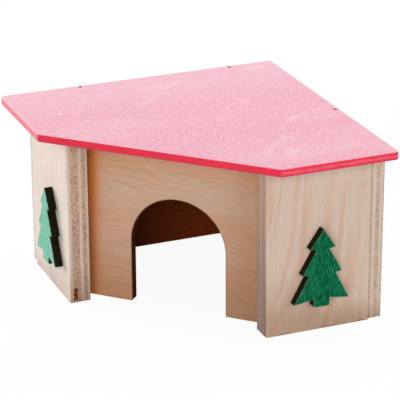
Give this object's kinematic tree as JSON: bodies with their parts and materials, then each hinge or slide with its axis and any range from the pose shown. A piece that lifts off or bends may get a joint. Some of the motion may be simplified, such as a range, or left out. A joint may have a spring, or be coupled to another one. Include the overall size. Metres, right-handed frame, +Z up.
{
  "type": "wooden corner house for a hamster",
  "caption": "Wooden corner hideout for a small pet: plywood walls, a flat pentagonal roof and a round-topped doorway, open underneath, with fir trees on its sides.",
  "frame": {"origin": "on the floor, under the middle of the house's bounding box", "axes": "+Z up, the doorway faces -Y, the rear corner points along +Y, +X to the right seen from in front"},
  "size_m": [0.2384, 0.169, 0.104],
  "materials": {
    "pink_stained_plywood": "pink water stain, matt",
    "plywood": "bare sanded plywood",
    "tan_plywood": "bare plywood, warm tan face, laser-cut doorway",
    "green_stained_plywood": "green water stain, scorched laser-cut edges",
    "brad_steel": "plain wire"
  },
  "bodies": {
    "root": {"roof_panel": "pink_stained_plywood", "back_wall_left": "plywood", "back_wall_right": "plywood", "side_panel_left": "plywood", "side_panel_right": "plywood", "front_panel": "tan_plywood", "tree_left": "green_stained_plywood", "tree_right": "green_stained_plywood", "roof_brads": "brad_steel", "wall_brads": "brad_steel"}
  },
  "joints": []
}
